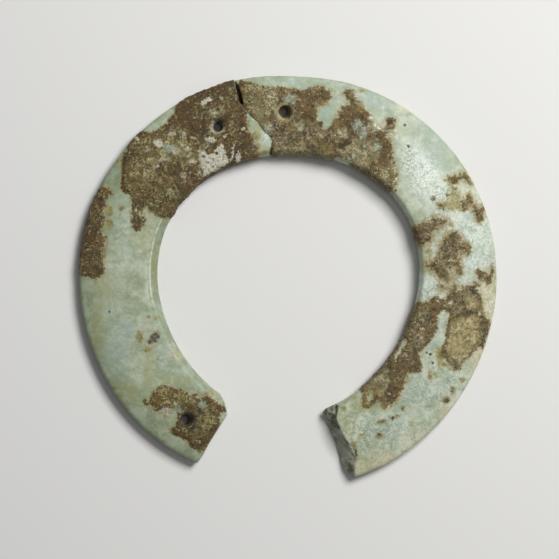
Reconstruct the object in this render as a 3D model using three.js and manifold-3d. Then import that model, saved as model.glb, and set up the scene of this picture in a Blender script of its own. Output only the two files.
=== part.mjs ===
// A flat stone bracelet that survives as two matching fragments, with a third one lost.
//
// Millimetres, +Z up. The ring lies on its ground underside. Seen from above, angles run
// anticlockwise from +X, and the gap of the lost fragment faces -Y. The origin is the middle
// of the bracelet's bounding box, at the level that it lies on.

import * as THREE from "three";
import { mergeVertices } from "three/addons/utils/BufferGeometryUtils.js";
import Module from "manifold-3d";

const wasm = await Module();
wasm.setup();
const degrees = THREE.MathUtils.degToRad;

// The opening for the wrist, ground from both faces to three soft lobes
const openingRadius = 31.3;
const openingLobe = 0.85;
const openingLobeAt = degrees(29);
const openingOval = 0.25;
const openingOvalAt = degrees(42);
const openingShift = 0.15;
const openingShiftAt = degrees(-78);

// The band and its outer rim, which has a short flat ground at the top and a longer one round
// the lost fragment
const bandWidth = 18.8;
const rimLobe = 0.3;
const rimLobeAt = degrees(28);
const topFlatDepth = 0.6;
const topFlatAt = degrees(87);
const topFlatSpread = degrees(12);
const lowFlatDepth = 1.7;
const lowFlatAt = degrees(258);
const lowFlatSpread = degrees(26);

// The band's section. The two grindings of the opening meet in a blunt ridge, halfway up, and
// the crown falls from its shoulder by the opening to a thin round rim. The underside has the
// same section, ground flat where it lies
const crownHeight = 2.7;
const crownWave = 0.12;
const crownWaveAt = degrees(160);
const groundDepth = 2.5;
const ridgeLand = 0.7;
const bevelRun = 1.9;
const shoulderRun = 0.9;
const shoulderDrop = 0.35;
const rimEdgeHeight = 1.15;
const rimRoundRun = 1.3;
const crownPower = 2.2;

// How finely the band is worked out
const stationTurn = degrees(4);
const shoulderSteps = 3;
const crownSteps = 7;
const rimSteps = 4;

// The lashing holes, each bored from both faces as two cones that meet at a narrow waist. The
// drill leant, so the mouths lie outward and anticlockwise of the waist by these shares of
// their radius above it, and as far the other way underneath
const waistRadius = 0.98;
const leftOfBreakMouth = 1.45;
const rightOfBreakMouth = 1.7;
const leftEndMouth = 1.95;
const waistOverlap = 0.2;
const holeSides = 28;
const leftOfBreakHole = {
  at: degrees(114.5),
  acrossShare: 0.51,
  mouthRadius: leftOfBreakMouth,
  leanShares: [0.1, -0.2],
};
const rightOfBreakHole = {
  at: degrees(91.7),
  acrossShare: 0.54,
  mouthRadius: rightOfBreakMouth,
  leanShares: [0, -0.25],
};
const leftEndHole = {
  at: degrees(233.2),
  acrossShare: 0.57,
  mouthRadius: leftEndMouth,
  leanShares: [-0.2, 0.45],
};

// The broken faces. Each row is a place across the band, from 0 at the opening to 1 at the rim,
// then how far the face stands off its radius at the crown, at half height and underneath, as
// shares of the band's width there. It stands off clockwise, or with turnwise 1 anticlockwise
const middleBreak = {
  at: degrees(100),
  turnwise: -1,
  rowShares: [
    [-0.1, 0.04, 0.05, 0.07],
    [0.0, 0.052, 0.06, 0.08],
    [0.11, 0.088, 0.1, 0.11],
    [0.165, 0.115, 0.12, 0.125],
    [0.215, 0.1, 0.11, 0.115],
    [0.28, 0.043, 0.06, 0.08],
    [0.36, 0.0, 0.025, 0.05],
    [0.445, -0.035, -0.01, 0.02],
    [0.5, -0.096, -0.07, -0.05],
    [0.56, -0.12, -0.105, -0.09],
    [0.63, -0.163, -0.145, -0.12],
    [0.72, -0.2, -0.178, -0.15],
    [0.86, -0.214, -0.195, -0.17],
    [0.98, -0.235, -0.212, -0.19],
    [1.1, -0.26, -0.235, -0.21],
  ],
};
const leftEnd = {
  at: degrees(244.4),
  turnwise: 1,
  rowShares: [
    [-0.12, -0.3, -0.3, -0.29],
    [0.0, -0.16, -0.15, -0.14],
    [0.05, -0.082, -0.078, -0.075],
    [0.11, -0.03, -0.024, -0.03],
    [0.175, 0.037, 0.042, 0.03],
    [0.25, 0.033, 0.04, 0.034],
    [0.39, 0.012, 0.02, 0.018],
    [0.54, -0.008, 0.002, 0.004],
    [0.68, -0.017, -0.01, -0.008],
    [0.82, -0.025, -0.018, -0.016],
    [0.93, -0.033, -0.028, -0.026],
    [1.0, -0.05, -0.048, -0.044],
    [1.12, -0.1, -0.1, -0.1],
  ],
};
const rightEnd = {
  at: degrees(-71),
  turnwise: -1,
  rowShares: [
    [-0.12, -0.09, 0.02, 0.06],
    [0.0, -0.068, 0.07, 0.11],
    [0.045, -0.06, 0.115, 0.15],
    [0.1, -0.044, 0.1, 0.153],
    [0.2, -0.008, 0.05, 0.147],
    [0.34, -0.02, 0.036, 0.134],
    [0.48, -0.045, 0.028, 0.124],
    [0.62, -0.093, 0.028, 0.128],
    [0.76, -0.17, 0.05, 0.12],
    [0.86, -0.2, 0.062, 0.09],
    [0.94, -0.18, 0.04, 0.05],
    [1.0, -0.04, 0.006, 0.01],
    [1.1, 0.0, 0.0, 0.0],
  ],
};
const faceLevels = 8;

// The two fragments don't quite touch, and a sliver is lost from the crown of the right one
// along the outer third of the break
const breakGap = 0.3;
const sliverWidth = 0.75;
const sliverDepth = 2.1;
const sliverAcrossShares = [0.66, 1.08];

// What is cut away runs past the band on every side, and each bow runs on past its broken faces
const overrun = 1.5;
const spareTurn = degrees(12);

const stoneColour = "#9fae92";

// A bump that fades away on both sides of its middle.
function swell(turn, spread) {
  const nearest = Math.atan2(Math.sin(turn), Math.cos(turn));
  return Math.exp(-((nearest / spread) ** 2));
}

function openingAt(angle) {
  return (
    openingRadius +
    openingLobe * Math.cos(3 * (angle - openingLobeAt)) +
    openingOval * Math.cos(2 * (angle - openingOvalAt)) +
    openingShift * Math.cos(angle - openingShiftAt)
  );
}

function rimAt(angle) {
  return (
    openingRadius +
    bandWidth +
    rimLobe * Math.cos(3 * (angle - rimLobeAt)) -
    topFlatDepth * swell(angle - topFlatAt, topFlatSpread) -
    lowFlatDepth * swell(angle - lowFlatAt, lowFlatSpread)
  );
}

function bandAt(angle) {
  return rimAt(angle) - openingAt(angle);
}

// The upper half of the band's section from ridge to rim, as radius and height over mid plane.
function upperSection(angle) {
  const crown = crownHeight + crownWave * Math.cos(2 * (angle - crownWaveAt));
  const shoulder = openingAt(angle) + bevelRun;
  const crownStart = shoulder + shoulderRun;
  const crownEnd = rimAt(angle) - rimRoundRun;
  const points = [[openingAt(angle), ridgeLand / 2]];
  for (let step = 0; step <= shoulderSteps; step += 1) {
    const share = step / shoulderSteps;
    points.push([shoulder + shoulderRun * share, crown - shoulderDrop * (1 - share) ** 2]);
  }
  for (let step = 1; step <= crownSteps; step += 1) {
    const share = step / crownSteps;
    const fall = (crown - rimEdgeHeight) * share ** crownPower;
    points.push([THREE.MathUtils.lerp(crownStart, crownEnd, share), crown - fall]);
  }
  for (let step = 1; step < rimSteps; step += 1) {
    const bend = (Math.PI / 2) * (step / rimSteps);
    points.push([crownEnd + rimRoundRun * Math.sin(bend), rimEdgeHeight * Math.cos(bend)]);
  }
  return points;
}

// The whole section, from the top of the ridge over the crown, round the rim and back below.
function sectionAt(angle) {
  const points = upperSection(angle);
  const above = points.map(([radius, height]) => [radius, groundDepth + height]);
  const below = points.map(([radius, height]) => [radius, Math.max(groundDepth - height, 0)]);
  return [...above, [rimAt(angle), groundDepth], ...below.reverse()];
}

function polar(radius, angle) {
  return new THREE.Vector3(radius * Math.cos(angle), radius * Math.sin(angle), 0);
}

// A closed geometry as a solid that can be cut. Vertices moved into a mirrored order turn it
// inside out, and then its triangles are turned round.
function solidFrom(geometry) {
  const bare = geometry.clone();
  bare.deleteAttribute("normal");
  bare.deleteAttribute("uv");
  const merged = mergeVertices(bare);
  const vertProperties = new Float32Array(merged.attributes.position.array);
  const triVerts = new Uint32Array(merged.index.array);
  const solid = new wasm.Manifold(new wasm.Mesh({ numProp: 3, vertProperties, triVerts }));
  if (solid.volume() > 0) return solid;
  triVerts.reverse();
  return new wasm.Manifold(new wasm.Mesh({ numProp: 3, vertProperties, triVerts }));
}

// The solid of a unit geometry whose every vertex goes where place puts it.
function solidPlaced(geometry, place) {
  const position = geometry.attributes.position;
  const vertex = new THREE.Vector3();
  for (let i = 0; i < position.count; i += 1) {
    vertex.fromBufferAttribute(position, i);
    const spot = place(vertex);
    position.setXYZ(i, spot.x, spot.y, spot.z);
  }
  return solidFrom(geometry);
}

// A bow of the band, bent from a unit cylinder: its round takes the section, its length the turn.
function bow(from, to) {
  const sides = sectionAt(from).length;
  const stations = Math.ceil((to - from) / stationTurn);
  const bar = new THREE.CylinderGeometry(1, 1, 1, sides, stations);
  return solidPlaced(bar, (vertex) => {
    const angle = THREE.MathUtils.lerp(from, to, vertex.y + 1 / 2);
    const roundShare = Math.atan2(vertex.x, vertex.z) / (2 * Math.PI);
    const corner = (Math.round(roundShare * sides) + sides) % sides;
    const [radius, height] = sectionAt(angle)[corner];
    const outShare = Math.min(Math.hypot(vertex.x, vertex.z), 1);
    const middle = openingAt(angle) + bandAt(angle) / 2;
    const spot = polar(THREE.MathUtils.lerp(middle, radius, outShare), angle);
    spot.z = THREE.MathUtils.lerp(groundDepth, height, outShare);
    return spot;
  });
}

// How far a broken face stands off its radius: straight from row to row across the band, and on
// a smooth curve through the three levels of its height.
function standOffShare(rows, acrossShare, heightShare) {
  const after = Math.max(rows.findIndex((row) => row[0] >= acrossShare), 1);
  const [low, high] = [rows[after - 1], rows[after]];
  const between = THREE.MathUtils.clamp((acrossShare - low[0]) / (high[0] - low[0]), 0, 1);
  const [crown, half, under] = [1, 2, 3].map((i) => THREE.MathUtils.lerp(low[i], high[i], between));
  const level = THREE.MathUtils.clamp(heightShare, 0, 1);
  const bend = 2 * (crown + under - 2 * half);
  return under + (crown - under - bend) * level + bend * level ** 2;
}

// What lies beyond a broken face, as a block whose near side is the face, set back into the
// stone, and whose far side is flat. Beyond is 1 on the side that the face's shares count
// towards, and -1 on the other.
function blockBeyond(face, beyond, setBack = () => 0) {
  const { at, turnwise, rowShares } = face;
  const firstShare = rowShares[0][0];
  const lastShare = rowShares[rowShares.length - 1][0];
  const crown = groundDepth + crownHeight;
  const reach = rimAt(at) * Math.sin(spareTurn) + overrun;
  const outward = polar(1, at);
  const sideways = polar(turnwise, at + Math.PI / 2);
  const block = new THREE.BoxGeometry(1, 1, 1, 1, 3 * rowShares.length, faceLevels);
  return solidPlaced(block, (vertex) => {
    const acrossShare = THREE.MathUtils.lerp(firstShare, lastShare, vertex.y + 1 / 2);
    const height = THREE.MathUtils.lerp(-overrun, crown + crownWave + overrun, vertex.z + 1 / 2);
    const standOff = bandAt(at) * standOffShare(rowShares, acrossShare, height / crown);
    const near = standOff - beyond * setBack(acrossShare, height);
    const spot = outward.clone().multiplyScalar(openingAt(at) + bandAt(at) * acrossShare);
    spot.addScaledVector(sideways, THREE.MathUtils.lerp(near, beyond * reach, vertex.x + 1 / 2));
    spot.z = height;
    return spot;
  });
}

// How much further back the face lies where the sliver is lost: a long scoop that is deepest at
// the crown and dies out below it.
function sliverScoop(acrossShare, height) {
  const [inner, outer] = sliverAcrossShares;
  const along = THREE.MathUtils.clamp((acrossShare - inner) / (outer - inner), 0, 1);
  const bottom = groundDepth + crownHeight - sliverDepth;
  const up = THREE.MathUtils.clamp((height - bottom) / sliverDepth, 0, 1);
  return sliverWidth * Math.sin(Math.PI * along) * up;
}

// One cone of a lashing hole, from just past the waist out through the crown or the underside.
function holeCone({ at, acrossShare, mouthRadius, leanShares }, direction) {
  const depth = direction > 0 ? crownHeight : groundDepth;
  const widening = (mouthRadius - waistRadius) / depth;
  const waist = polar(openingAt(at) + bandAt(at) * acrossShare, at);
  const lean = polar(mouthRadius * leanShares[0], at);
  lean.addScaledVector(polar(mouthRadius, at + Math.PI / 2), leanShares[1]);
  const unit = new THREE.CylinderGeometry(1, 1, 1, holeSides, 1);
  return solidPlaced(unit, (vertex) => {
    const away = THREE.MathUtils.lerp(-waistOverlap, depth + overrun, vertex.y + 1 / 2);
    const radius = waistRadius + widening * away;
    const spot = waist.clone().addScaledVector(lean, (direction * away) / depth);
    spot.x += radius * vertex.x;
    spot.y += radius * vertex.z;
    spot.z = groundDepth + direction * away;
    return spot;
  });
}

function bored(stone, hole) {
  return stone.subtract(holeCone(hole, 1)).subtract(holeCone(hole, -1));
}

function leftFragment() {
  const stone = bow(middleBreak.at - spareTurn, leftEnd.at + spareTurn)
    .subtract(blockBeyond(middleBreak, 1, () => breakGap / 2))
    .subtract(blockBeyond(leftEnd, 1));
  return bored(bored(stone, leftOfBreakHole), leftEndHole);
}

function rightFragment() {
  const setBack = (acrossShare, height) => breakGap / 2 + sliverScoop(acrossShare, height);
  const stone = bow(rightEnd.at - spareTurn, middleBreak.at + spareTurn)
    .subtract(blockBeyond(middleBreak, -1, setBack))
    .subtract(blockBeyond(rightEnd, 1));
  return bored(stone, rightOfBreakHole);
}

function fragmentMesh(name, solid) {
  const { vertProperties, triVerts } = solid.getMesh();
  const indexed = new THREE.BufferGeometry();
  indexed.setAttribute("position", new THREE.BufferAttribute(vertProperties, 3));
  indexed.setIndex(new THREE.BufferAttribute(triVerts, 1));
  const geometry = indexed.toNonIndexed();
  geometry.computeVertexNormals();
  const material = new THREE.MeshStandardMaterial({
    color: stoneColour,
    roughness: 0.42,
    metalness: 0,
  });
  const mesh = new THREE.Mesh(geometry, material);
  mesh.name = name;
  return mesh;
}

const group = new THREE.Group();
group.add(fragmentMesh("left_fragment", leftFragment()));
group.add(fragmentMesh("right_fragment", rightFragment()));

const box = new THREE.Box3().setFromObject(group);
const middle = box.getCenter(new THREE.Vector3());
for (const mesh of group.children) {
  mesh.position.set(-middle.x, -middle.y, -box.min.z);
}

export default group;
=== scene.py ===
import itertools
import math

import bpy
import numpy as np
from mathutils import Matrix, Vector


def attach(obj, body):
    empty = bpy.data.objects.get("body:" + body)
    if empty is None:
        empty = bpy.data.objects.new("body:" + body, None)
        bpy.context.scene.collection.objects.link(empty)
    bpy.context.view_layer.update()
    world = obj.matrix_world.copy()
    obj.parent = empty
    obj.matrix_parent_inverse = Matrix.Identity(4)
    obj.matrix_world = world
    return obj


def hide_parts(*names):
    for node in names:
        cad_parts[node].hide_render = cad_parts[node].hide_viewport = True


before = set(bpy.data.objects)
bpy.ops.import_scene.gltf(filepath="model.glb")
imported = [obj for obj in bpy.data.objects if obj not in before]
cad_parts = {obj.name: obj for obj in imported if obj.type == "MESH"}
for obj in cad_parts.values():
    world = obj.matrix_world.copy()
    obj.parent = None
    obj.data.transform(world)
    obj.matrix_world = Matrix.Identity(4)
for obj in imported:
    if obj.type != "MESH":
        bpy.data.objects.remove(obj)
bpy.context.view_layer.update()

# Lengths are in millimetres here and turned into metres at the end of each piece's making
MM = 0.001

# The photograph looks straight down. It is 559 pixels square with 0.24 mm to a pixel, and these
# are the pixels where the frame's origin and the middle of the ring lie
PHOTO_SIDE_PX = 559
PIXEL = 0.24
ORIGIN_PX = np.array([288.14, 276.61])
RING_CENTRE_PX = np.array([288.0, 281.0])

# Outlines that reach the stone's edges are stretched past them there: their corners on the rim
# and by the opening stand this many times as far from the ring's middle as in the photograph
PAST_RIM = 1.045
PAST_OPENING = 0.94


def rim(x, y):
    """An outline's corner on the rim, moved out past it so that what is bounded wraps round."""
    return tuple(RING_CENTRE_PX + (np.array([x, y]) - RING_CENTRE_PX) * PAST_RIM)


def inner(x, y):
    """The same for a corner on the edge of the opening, moved in towards the ring's middle."""
    return tuple(RING_CENTRE_PX + (np.array([x, y]) - RING_CENTRE_PX) * PAST_OPENING)


# The lashing holes in pixels, left and right of the break and at the left end, and how wide their
# mouths are. The fragments are broken this many degrees to either side of these turns
HOLES_PX = [(218.1, 127.8), (283.5, 112.0), (185.5, 419.5)]
HOLE_MOUTH_PX = 8.0
BREAK_TURNS = (100, 244, 290)
BREAK_SPREAD = 16

# Outlines of what lies on the stone, as corners in the photograph's pixels. The crust of the two
# fragments is kept apart, because the break divides it
LEFT_CRUST = {
    "upper_left": [
        rim(232, 80), rim(214, 86), rim(199, 91), rim(183, 100), (174.5, 111), (171, 117), (166.5, 124.5),
        (157, 131), (149.5, 133.5), rim(141, 133), rim(133, 143), rim(125, 151), rim(117, 160),
        (122.5, 162), (121.5, 181), (121.5, 189), (124.5, 192.5), (131, 197), (132.5, 200), (131.5, 207),
        (133, 216), (132.5, 226), (137, 231.5), (143.5, 229), (145, 221), (142.5, 215.5), (144.5, 209.5),
        (146, 206.5), (151, 211), (156, 215), (162, 219), (166, 218.5), inner(169.5, 217), inner(176, 208),
        inner(189.5, 191.5), inner(201, 182.5), inner(216, 170), inner(230, 163), inner(245, 158),
        inner(259, 154), (257, 146), (253.5, 139.5), (249.5, 132), (246.5, 124.5), (246.5, 116),
        (249.5, 112), (249, 106), (246, 98), (243, 88), (241, 78),
    ],
    "left_rim": [
        rim(99, 191), (102, 187), (108.5, 188.5), (113.5, 191), (113.5, 194), (109.5, 196), (107, 198.5),
        (106.5, 204.5), (104.5, 209.5), (103.5, 221), (102.5, 229.5), (107, 241), (104.5, 246),
        (104, 259.5), (105, 267), (104.5, 273.5), (99.5, 276.5), (94.5, 278.5), (88.5, 277), rim(81, 275),
        rim(79.5, 267), rim(81.5, 252), rim(84.5, 233), rim(89.5, 216), rim(96.5, 198),
    ],
    "left_end": [
        (144, 403), (144, 399), (148.5, 401.5), (155, 391), (159, 387), (163.5, 384), (171, 386),
        (183.5, 389.5), (188.5, 394), (194.5, 394.5), (199.5, 397), (207, 394.5), (216, 402), (222, 403.5),
        (228, 406), (228, 411), (222, 412), (219, 416), (221, 424), (218, 432), (212, 440), (203.5, 450),
        (201, 453), (191, 446), (187, 441), (183.5, 437.5), (177, 436), (172, 432), (171, 428.5),
        (175, 426), (176.5, 422), (179, 411), (173.5, 408.5), (163.5, 412.5), (159.5, 409.5), (154, 406),
    ],
}
RIGHT_CRUST = {
    "right_of_break": [
        (240, 80), (248.5, 81.5), (259.5, 85), (264.5, 87.5), (279.5, 87.5), (294.5, 89.5), (307, 90),
        (311, 87), (318, 85.5), (324, 88), (331, 92.5), (329.5, 102.5), (323.5, 106), (317, 106.5),
        (317, 119), (321, 124.5), (323.5, 131), (332, 124.5), (336.5, 119.5), (339.5, 112), (343.5, 107),
        (349.5, 104), (343.5, 93.5), (344.5, 89), (349.5, 88.5), (353.5, 91.5), (354.5, 97), (357.5, 101),
        (366, 111), (369.5, 115.5), (372, 122), (374.5, 126.5), (384.5, 132.5), (384.5, 137), (391, 139.5),
        (392.5, 157), (397, 174), (397, 182), inner(395.5, 191.5), inner(388, 187), inner(379, 181),
        inner(360, 170), inner(335, 161), inner(311, 156.5), inner(293, 154.5), inner(276, 153.5),
        inner(262, 155), (262, 136), (250, 124), (240, 110), (232, 98),
    ],
    "top_right_spot": [(386, 120), (394.5, 119.5), (393.5, 129.5), (387, 130)],
    "thin_upper_arc": [
        (444.5, 178), (450, 177), (456, 176.5), (459.5, 174), (464.5, 173), (467.5, 176), (469, 180),
        (472.5, 184), (470.5, 186), (467, 182), (463, 179), (458, 180.5), (455, 183.5), (453, 187),
        (450, 185), (448.5, 181.5),
    ],
    "pink_mottle": [
        (466, 197), (468.5, 194), (471, 198), (472, 203.5), (468, 207), (464, 210), (460.5, 209),
        (461, 203), (464, 200),
    ],
    "thin_lower_arc": [(437, 204.5), (441, 203), (446, 204.5), (447.5, 207), (443, 209), (438, 208.5)],
    "right_rim_bits": [
        (472, 204), (476, 206), (479, 209), (484, 206), (485, 210), (481, 213), (483, 219), (480, 222),
        (477.5, 223), (475, 217), (473, 210),
    ],
    "inner_right": [
        inner(412, 226), (416.5, 226), (421, 223.5), (426, 222), (431, 225), (431.5, 220), (434, 217),
        (440, 218), (444.5, 219.5), (445.5, 222), (442, 225.5), (436, 227), (436.5, 231), (432.5, 231),
        (431, 237), (428.5, 241.5), (423, 243.5), (420, 246), inner(417, 239.5),
    ],
    "centre_right": [
        (446, 235), (450, 232), (456, 231.5), (459, 235), (460, 240), (465, 241), (469, 245), (470, 250),
        (468, 255), (464, 252), (460, 250), (458, 254), (458, 261), (461, 266), (462, 272), (460, 276),
        (456, 274), (456, 268), (452, 266), (449, 271), (448, 276), (450, 280), (446, 281.5), (441, 279),
        (438, 275), (433, 272), (430, 267), (426, 268), (424, 264), (427, 262), (432, 263), (434, 257),
        (437, 254), (439, 249), (441, 243), (444, 239),
    ],
    "right_rim": [
        (475, 271), (477, 269.5), (483, 271), (486, 275), (489, 273), (490.5, 267), (491.5, 265),
        (493, 270), (493, 278), (490, 284), (486.5, 284), (484, 280), (480, 280), (478, 286), (475, 287),
        (474.5, 283), (477, 279),
    ],
    "below_centre": [
        (438, 286), (443, 285.5), (452, 287), (453, 284), (457.5, 285), (456, 290), (450, 289.5),
    ],
    "large_right": [
        (415, 304), (420, 301.5), (425, 302), (430, 300), (432.5, 296), (437, 295), (440, 298.5),
        (444, 299), (447, 294.5), (449.5, 290), (454, 288.5), (457.5, 291), (462, 287.5), (467, 285),
        (472, 285.5), (475, 287), (478, 290.5), (480, 295), (482.5, 298), (482, 305), (483, 311),
        (486, 316.5), (488.5, 320.5), (491, 326), (488.5, 331), (486.5, 338), (485, 344), (482, 349),
        (480, 347), (476.5, 346.5), (474, 351), (469, 356.5), (463, 361.5), (460, 368), (456.5, 371),
        (453, 371), (452, 367), (448.5, 363), (444.5, 359), (441.5, 357), (440.5, 352), (441, 346),
        (445, 339), (444.5, 332), (446, 325), (448, 317), (448.5, 312.5), (445, 310.5), (440, 311.5),
        (437, 314.5), (436.5, 320), (437, 326), (434.5, 333), (430.5, 339), (427.5, 344), (423, 348),
        (417.5, 353), (419.5, 358), (421.5, 364), (422, 368), (419.5, 372), (414, 373), (408.5, 371.5),
        (405.5, 375), (405, 382), (402, 389), (398.5, 396), (395, 401), (389.5, 404.5), (384.5, 409),
        (382, 404), (377, 400), (374, 404), (369, 408.5), (362, 407), (361, 400), (362, 393.5),
        inner(361, 391), inner(373.5, 377), inner(387, 364.5), inner(401, 351), inner(408.5, 339.5),
        inner(411, 323.5), inner(414, 312),
    ],
}

# Places inside the crust where the stone shows through
BARE = {
    "rim_strip": [rim(117, 163), rim(126, 150), (127, 149), (123, 157), (120.5, 162)],
    "inner_window": [(449, 256.5), (453, 256.5), (454, 260), (451.5, 262.5), (448.5, 260)],
    "inner_window_low": [(446.5, 268), (451.5, 268), (452, 272), (447, 273)],
    "opening_strip": [(394, 357), (397, 350), (401, 342), (404, 339), (406, 341), (402, 349), (395, 360)],
    "low_window": [(366, 392), (372, 390.5), (373.5, 395), (371, 402), (367.5, 402)],
    "left_end_light": [(173, 401), (178, 401.5), (177.5, 406), (173.5, 405.5)],
    "opening_smooth": [inner(332, 159), (336, 157.5), (350, 162), inner(352, 166)],
}

# Thin stains that the stone shows through: brownish ones and olive ones
FILM = {
    "middle": [
        (436, 241), (444, 230), (456, 228), (465, 236), (469, 243), (469.5, 254), (465, 263), (463, 276),
        (458, 281), (450, 285), (440, 285), (431, 277), (422, 268), (421, 262), (431, 257), (435, 250),
    ],
    "inner": [
        (413, 221), (424, 217), (432, 213), (446, 215), (453, 222), (450, 228), (440, 231), (436, 238),
        (432, 247), (422, 252), (413, 246),
    ],
    "rim": [
        (466, 190), (476, 200), (488, 205), (487, 216), (482, 226), (474, 224), (468, 212), (462, 210),
    ],
    "below": [(436, 283), (458, 282), (462, 288), (452, 295), (436, 294)],
    "by_band": [(380, 126), (396, 116), (398, 134), (394, 142), (380, 138), (372, 128)],
}
OLIVE = {
    "upper": [
        (447, 192), (451, 189), (456, 190), (460, 193), (461, 203), (460, 209), (456, 212), (450, 212),
        (445, 208), (436, 209), (436, 204), (444, 203), (445, 196),
    ],
    "arc": [
        (443, 179), (450, 184), (454, 188), (458, 181), (464, 178), (470, 185), (474, 186), (466, 172),
        (450, 175),
    ],
    "by_patch": [
        (436, 346), (440, 348), (441, 356), (444, 362), (449, 367), (453, 372), (446, 371), (440, 366),
        (436, 359), (434, 352),
    ],
    "by_window": [(428, 250), (432, 254), (430, 260), (425, 258)],
}

# Patches where a smooth tan deposit has lost its grainy skin
TAN = {
    "large": [
        (453, 321), (459, 316.5), (466, 317), (476, 315.5), (478.5, 321), (478, 328), (479.5, 335),
        (477.5, 342), (473, 346), (470, 351), (465, 356.5), (460, 361), (456.5, 361), (451.5, 357.5),
        (448.5, 352), (446, 347), (446.5, 341), (448.5, 336), (448, 330), (449.5, 325),
    ],
    "small": [
        (466, 295.5), (473.5, 296), (477, 300), (478, 306), (475.5, 311), (472, 309.5), (467, 310.5),
        (465.5, 306), (467, 301),
    ],
}

# White and pale grey deposits on the crust
WHITE = {
    "chip": [
        (199.5, 103.5), (205, 101), (206, 98.5), (210, 97.5), (212.5, 101), (208, 103), (206, 104.5),
        (203, 107), (201, 105.5),
    ],
    "large": [
        (198.5, 151.5), (206, 152), (210, 156.5), (213, 154.5), (217, 149.5), (219.5, 145.5), (222.5, 143),
        (224, 148), (225, 153), (228, 158), (230, 163), (224, 165), (218, 168), (210, 173), (204, 177.5),
        (203, 172), (201, 164), (199.5, 157),
    ],
    "below_left_hole": [(204, 136), (208, 138.5), (213, 138), (217, 141), (212, 143), (206, 141)],
    "streak": [(232.5, 151), (234.5, 151.5), (233, 160), (230.5, 162)],
    "second_streak": [(237, 153), (241, 152), (241, 158), (239, 162), (235.5, 162)],
    "thin_streak": [(231, 148.5), (235.5, 143.5), (237, 144.5), (232.5, 150)],
    "granules": [(153, 141), (158, 139.5), (163, 142), (165, 148), (160, 149), (155, 145.5)],
    "left_end_mottle": [(160, 408.5), (166, 407.5), (172, 408.5), (171, 415), (165, 419), (161, 415)],
}

# Crust of a deeper brown, and crust that is paler and greyer than the rest
DARK = {
    "beside_break": [(238, 106), (247, 108), (246, 121), (252, 136), (257, 150), (244, 152), (240, 130)],
    "outer_band": [
        (232, 80), (214, 86), (183, 100), (171, 117), (166, 124), (180, 126), (196, 112), (216, 96),
        (238, 88),
    ],
    "left_of_hole": [(180, 118), (206, 116), (208, 134), (196, 138), (182, 130)],
    "below_streaks": [(226, 146), (248, 138), (258, 152), (232, 162), (226, 156)],
    "inner_edge": [
        inner(176, 206), inner(190, 190), inner(203, 180), (205, 178), (200, 190), (190, 202), (180, 212),
    ],
    "by_left_hole": [(217, 118), (228, 118), (227, 125), (218, 124)],
    "left_margin": [(118, 160), (128, 158), (129, 192), (134, 200), (126, 194), (121, 190)],
    "tongue": [(136, 218), (142, 219), (141, 229), (136, 227)],
    "lump": [(337, 146), (341, 140), (349.5, 136.5), (349, 141.5), (342, 149.5)],
    "right_band": [(380, 137), (391, 138), (394, 154), (390, 168), (382, 172), (377, 162), (379, 148)],
    "window_margin": [(318, 86), (331, 92), (331, 102), (322, 107), (316, 100)],
    "right_of_hole": [(291, 92), (316, 92), (318, 118), (306, 124), (297, 112)],
    "small_spot": [(386, 119), (394.5, 119), (394.5, 124), (388, 125)],
    "inner_rim": [(412, 226), (422, 222), (428, 226), (424, 236), (418, 246)],
    "upper_right_clump": [
        (343, 106), (352, 98), (362, 108), (369, 116), (360, 122), (348, 130), (340, 122),
    ],
    "low_patch": [(387, 384), (398, 384), (400, 394), (390, 401), (384, 398)],
    "left_end_low": [(171, 429), (177, 426), (186, 433), (196, 441), (203, 450), (190, 446), (177, 437)],
    "right_rim": [(476, 271), (483, 271), (484, 278), (478, 280)],
}
PALE = {
    "upper_left_speckle": [
        (141, 141), (150, 134), (165, 131), (178, 138), (190, 142), (197, 150), (198, 160), (180, 165),
        (166, 160), (150, 166), (142, 158),
    ],
    "right_of_break": [
        (243, 83), (262, 88), (278, 92), (276, 104), (270, 120), (268, 133), (262, 131), (252, 116),
        (243, 98),
    ],
    "above_opening": [(272, 148), (300, 149), (330, 153), (330, 160), (310, 158), (276, 156)],
    "right_middle": [(338, 152), (347, 146), (354, 139), (378, 142), (377, 162), (362, 168), (340, 161)],
    "right_foot": [(376, 166), (392, 158), (397, 168), (397, 184), (386, 184)],
    "upper_right_bumps": [(331, 132), (345, 128), (349, 136), (338, 142), (330, 140)],
    "window_edges": [(316, 104), (331, 102), (322, 108), (320, 130), (327, 138), (318, 136), (314, 120)],
    "left_end_sheen": [(206, 404), (216, 404), (217, 416), (211, 428), (204, 432), (202, 416)],
    "upper_left_low": [(126, 168), (150, 162), (158, 170), (150, 186), (136, 196), (126, 188)],
    "left_end_top": [(152, 398), (162, 386), (174, 387), (192, 395), (196, 403), (180, 409), (166, 409)],
    "low_ochre": [(366, 378), (384, 372), (392, 380), (380, 396), (366, 392)],
}
GREY = {
    "upper_left_middle": [
        (143, 146), (152, 146), (165, 142), (178, 143), (180, 158), (168, 164), (150, 168),
    ],
    "upper_left_left": [
        (133, 150), (142, 152), (152, 170), (166, 186), (160, 206), (142, 200), (134, 170),
    ],
    "upper_left_top": [(205, 108), (222, 106), (226, 116), (212, 118), (203, 114)],
    "above_opening": [(272, 134), (292, 130), (318, 126), (316, 148), (292, 152), (274, 150)],
    "right_middle": [(354, 122), (372, 124), (382, 140), (378, 162), (358, 160), (360, 140)],
    "centre_right": [(418, 226), (430, 228), (442, 244), (458, 240), (454, 262), (440, 274), (422, 244)],
    "large_top": [(452, 292), (464, 288), (466, 300), (464, 313), (476, 312), (450, 318), (446, 300)],
    "large_left": [(420, 304), (432, 306), (430, 336), (416, 346), (412, 330)],
    "tan_border": [(446, 352), (462, 360), (478, 344), (484, 338), (474, 356), (456, 371), (443, 358)],
    "left_end": [(190, 412), (214, 404), (218, 420), (202, 450), (192, 440), (196, 424)],
}

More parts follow.
